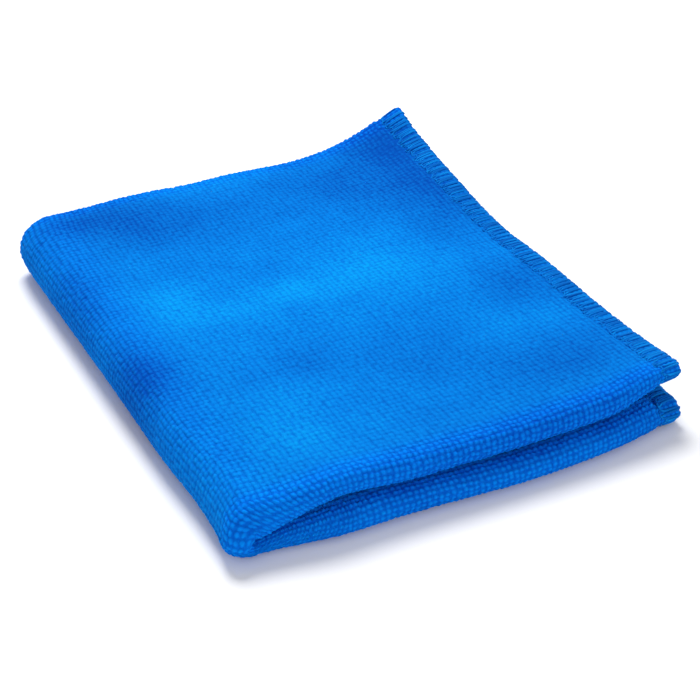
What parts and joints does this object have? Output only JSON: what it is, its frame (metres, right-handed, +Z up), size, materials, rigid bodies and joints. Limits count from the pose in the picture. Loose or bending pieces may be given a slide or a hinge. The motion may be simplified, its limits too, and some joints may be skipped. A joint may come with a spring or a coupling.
{
  "type": "polishing cloth",
  "caption": "Microfibre terry polishing cloth with an overlocked hem, its front and back folded in to the middle and then folded in half; it opens like a book at its second fold.",
  "frame": {"origin": "middle of the resting face, under the folded cloth", "axes": "+X from the second fold towards the right hem, +Y from the front folds towards the back folds, +Z up"},
  "size_m": [0.1546, 0.1923, 0.0301],
  "materials": {
    "terry": "matte microfibre terry loops",
    "hem_thread": "textured polyester overlock thread, slight sheen"
  },
  "bodies": {
    "lower_half": {"panel_bottom": "terry", "front_flap_lower": "terry", "back_flap_lower": "terry", "front_fold_lower": "terry", "back_fold_lower": "terry", "needle_thread_lower": "hem_thread", "upper_looper_lower": "hem_thread", "lower_looper_lower": "hem_thread", "second_fold_outer": "terry", "second_fold_inner": "terry", "fold_corner_front": "terry", "fold_corner_back": "terry", "needle_thread_fold": "hem_thread", "upper_looper_fold": "hem_thread", "lower_looper_fold": "hem_thread"},
    "upper_half": {"panel_top": "terry", "front_flap_upper": "terry", "back_flap_upper": "terry", "front_fold_upper": "terry", "back_fold_upper": "terry", "needle_thread_upper": "hem_thread", "upper_looper_upper": "hem_thread", "lower_looper_upper": "hem_thread"}
  },
  "joints": [
    {"name": "second_fold", "type": "hinge", "parent": "lower_half", "child": "upper_half", "pos_m": [-0.0657, 0, 0.0093], "axis": [0, -1, 0], "range_deg": [0, 175], "deforming": ["second_fold_outer", "second_fold_inner", "fold_corner_front", "fold_corner_back", "needle_thread_fold", "upper_looper_fold", "lower_looper_fold"]}
  ]
}
